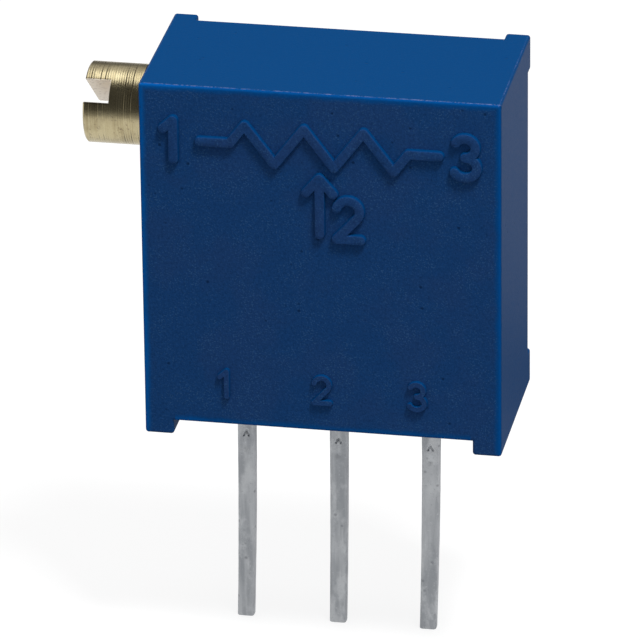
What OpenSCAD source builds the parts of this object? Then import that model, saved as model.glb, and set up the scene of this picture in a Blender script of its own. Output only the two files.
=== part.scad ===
// Square 3/8 inch trimmer potentiometer, side adjusted, worm and wheel drive.
// Origin: centre of the terminal row on the plane that the feet stand on.
// +X to the right, +Y towards the back, +Z up. Millimetres.

/* [Housing] */
// Width of the housing, left to right
body_w = 9.53; // [8.6:0.01:12]
// Height of the housing, from the feet to the top
body_h = 10.03; // [9:0.01:12]
// Depth of the housing, from the front face to the corner pads
body_d = 4.83; // [4.1:0.01:6]
// Thickness of the front wall
wall_front = 0.5; // [0.4:0.01:0.65]
// Thickness of the side walls
wall_side = 0.55; // [0.45:0.01:0.7]
// Thickness of the top wall
wall_top = 0.5; // [0.4:0.01:0.7]
// Thickness of the bottom wall
wall_bottom = 0.5; // [0.4:0.01:0.7]
// Radius of the outer edges
edge_r = 0.12; // [0.05:0.01:0.2]
// Corner radius of the pocket in the back
pocket_r = 0.35; // [0.2:0.01:0.6]
// Height of the foot rails
foot_h = 0.4; // [0.25:0.01:0.6]
// Width of the foot rails
foot_w = 0.77; // [0.5:0.01:0.9]
// How far the corner pads stand off the back
pad_proud = 0.38; // [0.2:0.01:0.6]
// Width of the corner pads
pad_w = 0.65; // [0.4:0.01:0.9]
// Height of the corner pads
pad_h = 0.97; // [0.6:0.01:1.4]
// Chamfer under each upper pad
pad_chamfer = 0.16; // [0.05:0.01:0.25]

/* [Adjustment screw] */
// Distance of the screw's axis below the top
screw_drop = 1.15; // [1.05:0.01:1.5]
// Distance of the screw's axis behind the front face
screw_depth = 1.27; // [1.1:0.01:1.6]
// Radius of the slotted head
head_r = 1.065; // [0.95:0.005:1.3]
// How far the head stands out of the housing
head_out = 1.54; // [1.2:0.01:2]
// Chamfer round the head
head_chamfer = 0.04; // [0.02:0.01:0.1]
// Width of the screwdriver slot
slot_w = 0.62; // [0.4:0.01:0.8]
// Depth of the screwdriver slot
slot_depth = 0.68; // [0.4:0.01:1]
// Angle of the slot, from upright, leaning towards the front at its top
slot_lean = 51; // [0:0.5:90]
// Radius of the neck that the seal goes round
neck_r = 0.55; // [0.45:0.01:0.65]
// Length of the pocket for the seal
seal_room = 0.65; // [0.5:0.01:0.8]
// How much larger than the shaft bore the pocket for the seal is
seal_step = 0.195; // [0.15:0.005:0.25]
// Length of the plain bearing behind the seal
journal_len = 0.75; // [0.6:0.01:0.9]
// Radius of the groove for the retaining clip
groove_r = 0.5; // [0.4:0.01:0.58]
// Width of the groove for the retaining clip
groove_w = 0.35; // [0.3:0.01:0.45]
// Length of the collar between the groove and the worm
collar_len = 0.5; // [0.3:0.01:0.6]
// Radius of the tail bearing
tail_r = 0.5; // [0.4:0.01:0.6]

/* [Retaining clip] */
// Thickness of the clip
clip_t = 0.28; // [0.22:0.01:0.29]
// How far the clip's legs reach in front of the axis
clip_reach = 0.45; // [0.35:0.01:0.6]
// How far the clip's slot is cut beyond the shaft bore, above and below
clip_bite = 0.07; // [0.05:0.01:0.15]

/* [Worm and wheel] */
// Turns of the screw from one end of the track to the other
screw_turns = 25; // [20:1:27]
// Number of teeth on the wheel
teeth = 32; // [28:1:36]
// Tip radius of the worm
worm_tip_r = 0.75; // [0.66:0.01:0.88]
// Height of a tooth above the pitch line
addendum = 0.15; // [0.12:0.01:0.18]
// Depth of a tooth space below the pitch line
dedendum = 0.19; // [0.15:0.01:0.22]
// Angle of the tooth flanks
flank = 20; // [14:1:22]
// Play between the flanks of worm and wheel
play = 0.08; // [0.05:0.01:0.1]
// Flat-sided segments in one turn of the worm
worm_sides = 20; // [16:4:32]
// Width of the wheel's rim
wheel_w = 0.8; // [0.6:0.01:1]
// Thickness of the wheel's web
web_t = 0.42; // [0.3:0.01:0.55]
// Thickness of the wheel's rim under the teeth
rim_t = 0.35; // [0.25:0.01:0.45]
// Radius of the post that the wheel turns on
post_r = 0.6; // [0.5:0.01:0.75]
// Thickness of the hub round the post
hub_t = 0.35; // [0.25:0.01:0.45]
// Half the angle that the wheel's stop rib takes up
rib_half = 10; // [6:1:14]

/* [Wiper] */
// Thickness of the wiper spring
spring_t = 0.12; // [0.08:0.01:0.15]
// Half the angle of the wiper spring's fan
spring_half = 26; // [20:1:34]
// Radius of the pegs that hold the wiper spring
peg_r = 0.16; // [0.12:0.01:0.2]
// How far the pegs stand out behind the wiper spring
peg_out = 0.06; // [0.03:0.01:0.1]
// Thickness of a brush finger
finger_t = 0.06; // [0.04:0.01:0.08]
// Width of a brush finger
finger_w = 0.1; // [0.06:0.01:0.12]
// Fingers in each brush
fingers = 4; // [2:1:4]
// Distance between neighbouring fingers
finger_step = 0.15; // [0.13:0.01:0.18]
// Length of a finger's foot, where it is welded to the spring
finger_foot = 0.27; // [0.2:0.01:0.35]
// Length of a finger's turned-back toe
finger_toe = 0.13; // [0.08:0.01:0.2]
// Length of a brush, along the track
brush_len = 0.9; // [0.7:0.01:1.1]

/* [Resistance element] */
// Thickness of the ceramic plate
plate_t = 0.635; // [0.5:0.005:0.76]
// Thickness of the printed films
film_t = 0.02; // [0.015:0.005:0.03]
// Width of the resistive track
track_w = 0.6; // [0.4:0.01:0.7]
// Width of the insulating ring between the track and the collector
ring_gap = 0.3; // [0.2:0.01:0.4]
// Width of the printed lines
line_w = 0.45; // [0.3:0.01:0.6]
// Width of the printed pads beside each terminal
land_w = 0.2; // [0.1:0.01:0.3]
// How far the track runs on past the end of the wiper's travel, in degrees
track_spare = 3; // [1:1:5]
// Length of the printed track ends, in degrees
track_end = 8; // [5:1:12]

/* [Terminals] */
// Distance between neighbouring terminals
pin_pitch = 2.54; // [2:0.01:3]
// Width of a terminal
pin_w = 0.5; // [0.4:0.01:0.6]
// Thickness of a terminal
pin_t = 0.3; // [0.2:0.01:0.4]
// Length of a terminal below the feet
pin_len = 6.4; // [3:0.1:14]
// Bevel along a terminal's edges
pin_bevel = 0.05; // [0.02:0.01:0.08]
// Depth of the notches in the ceramic plate
notch_h = 0.8; // [0.6:0.01:1]
// How far a terminal stops short of the top of its notch
notch_spare = 0.15; // [0.05:0.01:0.25]
// How far the solder stands up behind the ceramic plate
solder_h = 0.28; // [0.15:0.01:0.4]
// Width of the potting round a terminal where it leaves the bottom wall
potting_t = 0.12; // [0.08:0.01:0.2]
// How far the potting lies below the back of the housing
potting_drop = 0.1; // [0.03:0.01:0.3]

/* [Clearances] */
// Running clearance of a shaft in its bearing, on the radius
run_gap = 0.03; // [0.02:0.005:0.05]
// End clearance of a turning piece
end_gap = 0.03; // [0.02:0.005:0.06]
// Clearance between the screw's worm and the ceramic plate
plate_gap = 0.08; // [0.06:0.01:0.12]
// Clearance of pieces that are pushed together and stay still
push_gap = 0.01; // [0.005:0.005:0.02]
// Clearance round the ceramic plate
fit_gap = 0.05; // [0.03:0.01:0.08]
// Clearance of a terminal in its notch in the ceramic plate, on each side
notch_gap = 0.05; // [0.03:0.01:0.08]
// Clearance between the ceramic plate and its seat, for the films
seat_gap = 0.04; // [0.035:0.005:0.06]
// Clearance between a brush and the film under it
brush_gap = 0.01; // [0.005:0.005:0.02]
// Clearance of the potting from the walls round it
cast_gap = 0.01; // [0.005:0.005:0.02]
// Clearance between the wheel's teeth and the chamber round them
wheel_gap = 0.2; // [0.15:0.01:0.3]
// Width of the seat beside the wheel's chamber
seat_w = 0.55; // [0.4:0.01:0.7]
// Height of the seat under the wheel's chamber
seat_h = 0.3; // [0.2:0.01:0.4]
// Clearance of the wheel round the stop block
block_gap = 0.1; // [0.06:0.01:0.15]
// Travel left between the stop rib and the stop block, in degrees
stop_spare = 1.5; // [1:0.5:3]

/* [Hidden] */
$fn = 64;

// How far a cutter passes the face that it cuts, and how far joined solids run into each other
past = 1;
bed = 0.05;

// Places along Y. The terminals stand in the middle of the ceramic plate.
plate_front = -plate_t / 2;
plate_back = plate_t / 2;
screw_y = plate_front - plate_gap - worm_tip_r;
front_y = screw_y - screw_depth;
back_y = front_y + body_d;
rim_y = back_y - pad_proud;
wall_y = front_y + wall_front;
seat_y = plate_front - seat_gap;
wheel_front = screw_y - wheel_w / 2;
wheel_back = screw_y + wheel_w / 2;
web_front = wheel_back - web_t;
spring_back = wheel_back + spring_t;
film_y = plate_front - film_t;
potting_y = rim_y - potting_drop;

// Places along Z
floor_z = foot_h + wall_bottom;
ceiling_z = body_h - wall_top;
screw_z = body_h - screw_drop;
plate_z0 = floor_z + fit_gap;
plate_z1 = ceiling_z - fit_gap;
notch_z = plate_z0 + notch_h;
pin_top = notch_z - notch_spare;

// Places along X
left_x = -body_w / 2;
right_x = body_w / 2;
pocket_x = right_x - wall_side;
plate_x = pocket_x - fit_gap;
head_x0 = left_x - head_out;
head_x1 = left_x - end_gap;
seal_x1 = left_x + seal_room;
groove_x0 = seal_x1 + journal_len;
groove_x1 = groove_x0 + groove_w;
worm_x = -groove_x1 - collar_len;
shoulder_x = worm_x + end_gap;
tail_x1 = pocket_x - end_gap;
clip_x0 = groove_x0 + (groove_w - clip_t) / 2;

// Worm and wheel. The wheel is as large as the width and the height under the screw let it be.
worm_pitch_r = worm_tip_r - addendum;
worm_root_r = worm_pitch_r - dedendum;
wheel_in_width = pocket_x - seat_w - wheel_gap - addendum;
wheel_in_height = (screw_z - worm_pitch_r - addendum - wheel_gap - seat_h - floor_z) / 2;
wheel_pitch_r = min(wheel_in_width, wheel_in_height);
wheel_tip_r = wheel_pitch_r + addendum;
wheel_root_r = wheel_pitch_r - dedendum;
wheel_z = screw_z - worm_pitch_r - wheel_pitch_r;
chamber_r = wheel_tip_r + wheel_gap;
tooth_pitch = 2 * PI * wheel_pitch_r / teeth;
lead_angle = atan(tooth_pitch / (2 * PI * worm_pitch_r));
tooth_t = (tooth_pitch - play) / 2;
rim_in_r = wheel_root_r - rim_t;
hub_bore_r = post_r + run_gap;
hub_r = hub_bore_r + hub_t;
half_sweep = screw_turns * 180 / teeth;
block_half = 180 - half_sweep - rib_half - stop_spare;

// Bores of the screw
bore_r = worm_tip_r + run_gap;
seal_bore_r = bore_r + seal_step;
seal_r = (seal_bore_r - neck_r - run_gap - push_gap) / 2;
clip_half = bore_r + clip_bite;

// Rings on the ceramic plate
track_r1 = rim_in_r + rim_t / 2;
track_r0 = track_r1 - track_w;
collector_r1 = track_r0 - ring_gap;
collector_r0 = hub_r;
track_mid_r = (track_r0 + track_r1) / 2;
collector_mid_r = (collector_r0 + collector_r1) / 2;
track_half = half_sweep + track_spare;

// Notches for the terminals
cast_r = norm([pin_w, pin_t]) / 2 + potting_t;
slot_half = pin_w / 2 + notch_gap;

// Sweeps an outline in (x, z) from y0 to y1
module along_y(y0, y1) {
    translate([0, y1, 0]) rotate([90, 0, 0]) linear_extrude(y1 - y0) children();
}

// Sweeps an outline in (y, z) from x0 to x1
module along_x(x0, x1) {
    translate([x0, 0, 0]) rotate([90, 0, 90]) linear_extrude(x1 - x0) children();
}

// Puts a solid that was turned about Z on the screw's axis, with its Z along +X
module on_screw() {
    translate([0, screw_y, screw_z]) rotate([0, 90, 0]) children();
}

// Plain cylinder on the screw's axis from x0 to x1
module round_on_screw(r, x0, x1) {
    on_screw() translate([0, 0, x0]) cylinder(r = r, h = x1 - x0);
}

// Rectangle with round corners from (u0, v0) to (u1, v1)
module round_rect(u0, v0, u1, v1, r) {
    translate([u0 + r, v0]) square([u1 - u0 - 2 * r, v1 - v0]);
    translate([u0, v0 + r]) square([u1 - u0, v1 - v0 - 2 * r]);
    for (u = [u0 + r, u1 - r], v = [v0 + r, v1 - r])
        translate([u, v]) circle(r);
}

// Rectangle from (u0, v0) to (u1, v1)
module rect(u0, v0, u1, v1) {
    translate([u0, v0]) square([u1 - u0, v1 - v0]);
}

// Flat ring between two radii round the wheel's centre
module ring(r0, r1) {
    translate([0, wheel_z]) difference() {
        circle(r1);
        circle(r0);
    }
}

// Wedge from the wheel's centre, half_angle each way from a direction that is measured clockwise from the top
module wedge(direction, half_angle, reach) {
    tip = reach / cos(half_angle);
    translate([0, wheel_z]) rotate(-direction)
        polygon([[0, 0], [tip * sin(-half_angle), reach], [tip * sin(half_angle), reach]]);
}

// Printed line of the given width between two points
module line(from, to, width) {
    run = to - from;
    translate(from) rotate(atan2(run[1], run[0])) translate([0, -width / 2]) square([norm(run), width]);
}

// The housing's outside: what its three outlines have in common
module housing_blank() {
    inner_foot = right_x - foot_w;
    inner_pad = right_x - pad_w;
    intersection() {
        along_y(front_y - past, back_y + past) difference() {
            round_rect(left_x, 0, right_x, body_h, edge_r);
            rect(-inner_foot, -past, inner_foot, foot_h);
        }
        along_x(left_x - past, right_x + past) difference() {
            round_rect(front_y, 0, back_y, body_h, edge_r);
            polygon([
                [rim_y, pad_h], [back_y + past, pad_h],
                [back_y + past, body_h - pad_h + pad_chamfer], [back_y, body_h - pad_h + pad_chamfer],
                [back_y - pad_chamfer, body_h - pad_h], [rim_y, body_h - pad_h],
            ]);
        }
        translate([0, 0, -past]) linear_extrude(body_h + 2 * past) difference() {
            round_rect(left_x, front_y, right_x, back_y, edge_r);
            rect(-inner_pad, rim_y, inner_pad, back_y + past);
        }
    }
}

// Channel in the bottom wall for one terminal, open to the back, as an outline in (x, y)
module channel(x, r, y1) {
    translate([x, 0]) circle(r);
    rect(x - r, 0, x + r, y1);
}

// Everything that is hollow in the housing
module housing_hollow() {
    // Pocket for the ceramic plate and the potting
    along_y(seat_y, back_y + past) round_rect(-pocket_x, floor_z, pocket_x, ceiling_z, pocket_r);
    // Chamber for the wheel
    along_y(wall_y, seat_y + bed) translate([0, wheel_z]) circle(chamber_r);
    // Bores for the seal, the shaft and the tail
    round_on_screw(seal_bore_r, left_x - past, seal_x1);
    round_on_screw(bore_r, left_x - past, shoulder_x);
    round_on_screw(tail_r + run_gap, 0, pocket_x);
    // Slot for the retaining clip
    clip_space = clip_t + 2 * push_gap;
    translate([clip_x0 - push_gap, screw_y - clip_reach - push_gap, screw_z - clip_half])
        cube([clip_space, seat_y + bed - (screw_y - clip_reach - push_gap), 2 * clip_half]);
    // Channels for the terminals
    for (x = [-pin_pitch, 0, pin_pitch])
        linear_extrude(floor_z + bed) channel(x, cast_r, back_y + past);
}

module housing() {
    color([0.07, 0.19, 0.40]) {
        difference() {
            housing_blank();
            housing_hollow();
        }
        // Post that the wheel turns on
        along_y(wall_y - bed, spring_back) translate([0, wheel_z]) circle(post_r);
        // Block that stops the wheel's rib at both ends of its travel
        along_y(wall_y - bed, web_front - block_gap) intersection() {
            ring(hub_r + block_gap, rim_in_r - block_gap);
            wedge(180, block_half, chamber_r);
        }
    }
}

// Section of the worm's thread at step k, as four points from its left foot to its right foot
function thread_width(r) = tooth_t + 2 * (worm_pitch_r - r) * tan(flank);
thread_foot_r = worm_root_r - bed;
thread_turns = floor(2 * worm_x / tooth_pitch) - 1;
thread_steps = thread_turns * worm_sides;
function thread_section(k) = let(
        turn = k / worm_sides,
        a = 360 * (turn - thread_turns / 2) + 90,
        x = -tooth_pitch * (turn - thread_turns / 2)
    ) [
        for (p = [[-0.5, thread_foot_r], [-0.5, worm_tip_r], [0.5, worm_tip_r], [0.5, thread_foot_r]])
            [x + p[0] * thread_width(p[1]), screw_y + p[1] * cos(a), screw_z + p[1] * sin(a)]
    ];

// The worm's left-hand thread: its section carried round the screw's axis.
// A space between two threads faces the wheel at rest.
module thread() {
    points = [for (k = [0:thread_steps]) each thread_section(k)];
    last = 4 * thread_steps;
    sides = [
        for (k = [0:thread_steps - 1], i = [0:3])
            let(a = 4 * k + i, b = 4 * k + (i + 1) % 4)
                each [[a, b, a + 4], [b, b + 4, a + 4]]
    ];
    polyhedron(points, concat([[3, 2, 1, 0]], sides, [[last, last + 1, last + 2, last + 3]]));
}

module adjustment_screw() {
    color([0.72, 0.64, 0.40]) difference() {
        union() {
            on_screw() rotate_extrude() polygon([
                [0, head_x0], [head_r - head_chamfer, head_x0], [head_r, head_x0 + head_chamfer],
                [head_r, head_x1], [neck_r, head_x1], [neck_r, seal_x1],
                [worm_tip_r, seal_x1], [worm_tip_r, groove_x0], [groove_r, groove_x0], [groove_r, groove_x1],
                [worm_tip_r, groove_x1], [worm_tip_r, -worm_x], [worm_root_r, -worm_x], [worm_root_r, worm_x],
                [tail_r, worm_x], [tail_r, tail_x1], [0, tail_x1],
            ]);
            thread();
        }
        // Screwdriver slot across the head
        translate([head_x0 - past, screw_y, screw_z]) rotate([slot_lean, 0, 0])
            translate([0, -slot_w / 2, -head_r - past])
                cube([slot_depth + past, slot_w, 2 * (head_r + past)]);
    }
}

// Rubber ring round the screw's neck
module shaft_seal() {
    color([0.16, 0.16, 0.17]) on_screw() translate([0, 0, left_x + seal_room / 2])
        rotate_extrude() translate([neck_r + run_gap + seal_r, 0]) circle(seal_r);
}

// U-shaped clip in the screw's groove, pushed in from the back
module screw_retainer() {
    color([0.70, 0.71, 0.73]) along_x(clip_x0, clip_x0 + clip_t) difference() {
        rect(screw_y - clip_reach, screw_z - clip_half + push_gap, seat_y, screw_z + clip_half - push_gap);
        translate([screw_y, screw_z]) circle(groove_r + run_gap);
        rect(
            screw_y - clip_reach - past, screw_z - groove_r - run_gap,
            screw_y, screw_z + groove_r + run_gap
        );
    }
}

// One wheel tooth at the top, leaning by the worm's lead angle
module tooth() {
    half_root = tooth_t / 2 + (dedendum + bed) * tan(flank);
    half_tip = tooth_t / 2 - addendum * tan(flank);
    length = wheel_w + 2 * bed;
    translate([0, screw_y, wheel_z + wheel_pitch_r]) rotate([0, 0, lead_angle])
        along_y(-length / 2, length / 2) polygon([
            [-half_root, -dedendum - bed], [half_root, -dedendum - bed],
            [half_tip, addendum], [-half_tip, addendum],
        ]);
}

// Places of the two pegs that hold the wiper spring, in (x, z), between the two brushes
peg_orbit = (collector_mid_r + track_mid_r) / 2;
pegs = [for (a = [-spring_half, spring_half]) [peg_orbit * sin(a / 2), wheel_z + peg_orbit * cos(a / 2)]];

module worm_wheel() {
    color([0.90, 0.89, 0.84]) {
        difference() {
            union() {
                along_y(wheel_front, wheel_back) translate([0, wheel_z]) circle(wheel_root_r);
                intersection() {
                    along_y(wheel_front, wheel_back) translate([0, wheel_z]) circle(wheel_tip_r);
                    for (i = [0:teeth - 1])
                        translate([0, 0, wheel_z]) rotate([0, i * 360 / teeth, 0]) translate([0, 0, -wheel_z])
                            tooth();
                }
            }
            along_y(wheel_front - past, web_front) ring(hub_r, rim_in_r);
            along_y(wheel_front - past, wheel_back + past) translate([0, wheel_z]) circle(hub_bore_r);
        }
        // Front of the hub, up to the housing's wall
        along_y(wall_y + end_gap, wheel_front + bed) ring(hub_bore_r, hub_r);
        // Rib that meets the housing's stop block
        along_y(wheel_front, web_front + bed) intersection() {
            ring(hub_r - bed, rim_in_r + bed);
            wedge(0, rib_half, chamber_r);
        }
        // Pegs for the wiper spring
        for (p = pegs)
            along_y(wheel_back - bed, spring_back + peg_out) translate(p) circle(peg_r);
    }
}

module wiper_spring() {
    color([0.78, 0.66, 0.40]) along_y(wheel_back, spring_back) difference() {
        union() {
            ring(hub_bore_r, hub_r);
            intersection() {
                ring(hub_r - bed, track_r1);
                wedge(0, spring_half, chamber_r);
            }
        }
        for (p = pegs)
            translate(p) circle(peg_r + push_gap);
    }
}

// Brush on the wiper spring: parallel fingers side by side round a radius, each bent up to the plate
module brush(radius) {
    rise = film_y - brush_gap - spring_back;
    heel = brush_len - finger_toe;
    first = wheel_z + radius - ((fingers - 1) * finger_step + finger_w) / 2;
    for (i = [0:fingers - 1])
        translate([-brush_len / 2, spring_back, first + i * finger_step]) linear_extrude(finger_w) polygon([
            [0, 0], [finger_foot, 0], [heel, rise - finger_t], [brush_len, rise - 2 * finger_t],
            [brush_len, rise - finger_t], [heel, rise], [finger_foot, finger_t], [0, finger_t],
        ]);
}

module track_brush() {
    color([0.80, 0.78, 0.70]) brush(track_mid_r);
}

module collector_brush() {
    color([0.80, 0.78, 0.70]) brush(collector_mid_r);
}

module ceramic_substrate() {
    color([0.93, 0.92, 0.88]) along_y(plate_front, plate_back) difference() {
        round_rect(-plate_x, plate_z0, plate_x, plate_z1, pocket_r - fit_gap);
        for (x = [-pin_pitch, 0, pin_pitch])
            rect(x - slot_half, plate_z0 - past, x + slot_half, notch_z);
    }
}

// Printed film on the front of the ceramic plate
module film() {
    along_y(film_y, plate_front) children();
}

// Printed land round a terminal's notch
module land(x) {
    difference() {
        rect(x - slot_half - land_w, plate_z0, x + slot_half + land_w, notch_z + land_w);
        rect(x - slot_half, plate_z0 - past, x + slot_half, notch_z);
    }
}

// Outline of the resistive track
module track_outline() {
    difference() {
        ring(track_r0, track_r1);
        wedge(180, 180 - track_half, 2 * chamber_r);
    }
}

module resistive_track() {
    color([0.12, 0.12, 0.13]) film() track_outline();
}

module collector_ring() {
    color([0.78, 0.78, 0.76]) film() {
        ring(collector_r0, collector_r1);
        line([0, wheel_z - collector_r1 + bed], [0, notch_z + land_w / 2], line_w);
        land(0);
    }
}

// End of the track on one side, side = -1 or 1, with its line to the terminal's land
module end_conductor(side) {
    mid_a = track_half + track_end / 2;
    color([0.78, 0.78, 0.76]) film() {
        intersection() {
            ring(track_r0, track_r1);
            wedge(side * mid_a, track_end / 2, 2 * chamber_r);
        }
        difference() {
            line(
                [side * track_mid_r * sin(mid_a), wheel_z + track_mid_r * cos(mid_a)],
                [side * pin_pitch, notch_z + land_w / 2], line_w
            );
            track_outline();
        }
        land(side * pin_pitch);
    }
}

module end_conductor_1() {
    end_conductor(-1);
}

module end_conductor_3() {
    end_conductor(1);
}

// Flat terminal with bevelled edges
module terminal(x) {
    u = pin_w / 2;
    v = pin_t / 2;
    color([0.68, 0.69, 0.70]) translate([x, 0, -pin_len]) linear_extrude(pin_top + pin_len) polygon([
        [u, v - pin_bevel], [u - pin_bevel, v], [pin_bevel - u, v], [-u, v - pin_bevel],
        [-u, pin_bevel - v], [pin_bevel - u, -v], [u - pin_bevel, -v], [u, pin_bevel - v],
    ]);
}

module terminal_1() {
    terminal(-pin_pitch);
}

module terminal_2() {
    terminal(0);
}

module terminal_3() {
    terminal(pin_pitch);
}

// Solder that fills the notch round a terminal's top and stands up behind the plate
module solder_mass(x) {
    solder_r = slot_half + land_w;
    along_y(plate_front, plate_back + bed) rect(x - slot_half, plate_z0, x + slot_half, notch_z);
    translate([x, plate_back, notch_z - solder_r]) rotate([-90, 0, 0])
        cylinder(r1 = solder_r, r2 = slot_half, h = solder_h);
}

module solder_joint(x) {
    color([0.74, 0.75, 0.76]) difference() {
        solder_mass(x);
        terminal(x);
    }
}

module solder_joint_1() {
    solder_joint(-pin_pitch);
}

module solder_joint_2() {
    solder_joint(0);
}

module solder_joint_3() {
    solder_joint(pin_pitch);
}

// Potting that closes the back and the channels round the terminals
module epoxy_fill() {
    color([0.06, 0.14, 0.30]) difference() {
        union() {
            along_y(plate_back, potting_y) round_rect(
                -pocket_x + cast_gap, floor_z + cast_gap, pocket_x - cast_gap, ceiling_z - cast_gap,
                pocket_r - cast_gap
            );
            for (x = [-pin_pitch, 0, pin_pitch])
                translate([0, 0, foot_h + cast_gap]) linear_extrude(plate_z0 - foot_h - cast_gap)
                    channel(x, cast_r - cast_gap, potting_y);
        }
        for (x = [-pin_pitch, 0, pin_pitch]) {
            solder_mass(x);
            terminal(x);
        }
    }
}

housing();
adjustment_screw();
shaft_seal();
screw_retainer();
worm_wheel();
wiper_spring();
track_brush();
collector_brush();
ceramic_substrate();
resistive_track();
collector_ring();
end_conductor_1();
end_conductor_3();
terminal_1();
terminal_2();
terminal_3();
solder_joint_1();
solder_joint_2();
solder_joint_3();
epoxy_fill();
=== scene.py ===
"""Looks of a square, side-adjusted, multi-turn trimmer potentiometer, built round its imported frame.

The pieces that show are surfaces worked out here with numpy: the blue moulding with its soft edges and raised
marks, the turned brass screw, the three tinned terminals and the potting in the back. The pieces inside keep
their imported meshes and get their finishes. Shapes are worked out in millimetres and stored in metres.
"""

import bmesh
import bpy
import numpy as np
from bpy.props import FloatProperty, FloatVectorProperty, IntProperty, PointerProperty
from mathutils import Matrix, Vector


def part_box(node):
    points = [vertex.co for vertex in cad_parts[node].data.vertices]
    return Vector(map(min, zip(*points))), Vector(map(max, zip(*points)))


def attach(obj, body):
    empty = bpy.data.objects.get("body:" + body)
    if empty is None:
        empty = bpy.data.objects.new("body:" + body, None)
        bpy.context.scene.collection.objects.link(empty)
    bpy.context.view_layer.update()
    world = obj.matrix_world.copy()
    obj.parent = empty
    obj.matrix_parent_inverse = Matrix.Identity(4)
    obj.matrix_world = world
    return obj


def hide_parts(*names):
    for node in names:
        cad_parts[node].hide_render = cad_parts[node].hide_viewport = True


bl_info = {
    "name": "Trimmer Potentiometer",
    "version": (1, 0, 0),
    "blender": (4, 5, 0),
    "location": "View3D > Sidebar > Trimmer",
    "description": "Builds the looks of a square multi-turn trimmer potentiometer round its packed frame",
    "category": "Object",
}

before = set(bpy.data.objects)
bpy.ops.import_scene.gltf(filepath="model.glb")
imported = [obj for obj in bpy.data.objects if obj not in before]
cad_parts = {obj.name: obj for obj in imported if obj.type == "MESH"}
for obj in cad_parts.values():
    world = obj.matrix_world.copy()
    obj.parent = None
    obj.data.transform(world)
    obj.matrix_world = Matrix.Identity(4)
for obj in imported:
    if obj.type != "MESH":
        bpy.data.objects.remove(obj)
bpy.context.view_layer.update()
MM = 0.001


def span(node):
    """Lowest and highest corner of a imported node, in millimetres."""
    low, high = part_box(node)
    return np.array(low) / MM, np.array(high) / MM


# Places that the frame gives, in millimetres
CASE_LOW, CASE_HIGH = span("housing")
SCREW_LOW, SCREW_HIGH = span("adjustment_screw")
WHEEL_LOW, WHEEL_HIGH = span("worm_wheel")
PLATE_LOW, PLATE_HIGH = span("ceramic_substrate")
SPRING_BACK_Y = span("wiper_spring")[1][1]
CLIP_LOW, CLIP_HIGH = span("screw_retainer")
PIN_NODES = ("terminal_1", "terminal_2", "terminal_3")
PIN_LOW, PIN_HIGH = span(PIN_NODES[0])
PIN_X = [float(sum(corner[0] for corner in span(node))) / 2 for node in PIN_NODES]
FRONT_Y, BACK_Y = CASE_LOW[1], CASE_HIGH[1]
TOP_Z = CASE_HIGH[2]
HALF_W = CASE_HIGH[0]
POTTING_Y = span("epoxy_fill")[1][1]
SCREW_Z = (SCREW_LOW[2] + SCREW_HIGH[2]) / 2
HEAD_R = (SCREW_HIGH[2] - SCREW_LOW[2]) / 2
WHEEL_Z = (WHEEL_LOW[2] + WHEEL_HIGH[2]) / 2
WHEEL_TIP_R = (WHEEL_HIGH[2] - WHEEL_LOW[2]) / 2

# The moulding's own sizes, in millimetres
PAD_PROUD = 0.38
PAD_W = 0.65
PAD_H = 0.97
PAD_CHAMFER = 0.16
FOOT_W = 0.77
FOOT_H = 0.4
RIM_Y = BACK_Y - PAD_PROUD
WALL_FRONT = 0.5
PLATE_GAP = 0.05
SEAT_GAP = 0.04
POCKET_R = 0.35
POCKET_X = PLATE_HIGH[0] + PLATE_GAP
POCKET_Z0 = PLATE_LOW[2] - PLATE_GAP
POCKET_Z1 = PLATE_HIGH[2] + PLATE_GAP
POCKET_FLARE = np.array([0.05, 0.032, 0.016, 0.005, 0.0])
SEAT_Y = PLATE_LOW[1] - SEAT_GAP
WHEEL_GAP = 0.2
CHANNEL_R = 0.4115
CAST_GAP = 0.01
POST_R = 0.6
BLOCK_R0, BLOCK_R1 = 1.08, 2.675
BLOCK_Y1 = -1.2675
BLOCK_HALF = np.radians(27.9)

# How deep a mark's foot lies in the front, how much of its width a shoulder takes, and the distances from the
# wall of the rings of the poured surface
RIB_SUNK = 0.08
RIB_SHOULDER = 0.14
POUR_STEPS = (0, 0.01, 0.025, 0.045, 0.07, 0.1, 0.14, 0.19, 0.26, 0.33, 0.5, 0.8, 1.2, 1.7, 2.3, 3.0, 3.7)

# How far cutters reach past the skin, how far joined solids lie in each other, the radius of an inner edge
# that is left sharp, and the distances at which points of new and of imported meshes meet
PAST = 0.5
OVERLAP = 0.05
SHARP_R = 0.01
MEET = 1e-5
PACKED_MEET = 1e-4

# The screw's own sizes, in millimetres. Names with an X are places along its axis.
SCREW_Y = SCREW_LOW[1] + HEAD_R
HEAD_X0 = SCREW_LOW[0]
HEAD_X1 = -HALF_W - 0.03
SEAL_X1 = -HALF_W + 0.65
GROOVE_X0 = SEAL_X1 + 0.75
GROOVE_X1 = GROOVE_X0 + 0.35
WORM_X = -GROOVE_X1 - 0.5
TAIL_X1 = SCREW_HIGH[0]
NECK_R, SHAFT_R, GROOVE_R, TAIL_R = 0.55, 0.75, 0.5, 0.5
WORM_PITCH_R, WORM_ROOT_R = 0.6, 0.41
WHEEL_TEETH = 32
TOOTH_PITCH = 2 * np.pi * (WHEEL_TIP_R - SHAFT_R + WORM_PITCH_R) / WHEEL_TEETH
FLANK = np.tan(np.radians(20))
RUN_GAP = 0.03
TAIL_CHAMFER = 0.05
THREAD_PLAY = 0.08
SEAL_WALL = 0.195
SEAL_BORE_R = SHAFT_R + RUN_GAP + SEAL_WALL


# Surfaces


def together(*axes):
    """Points from their coordinates along each axis, where one number or line may stand for many."""
    return np.stack(np.broadcast_arrays(*axes), -1)


def unit(vectors):
    """Vectors of length one in the same directions."""
    return vectors / np.linalg.norm(vectors, axis=1, keepdims=True)


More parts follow.
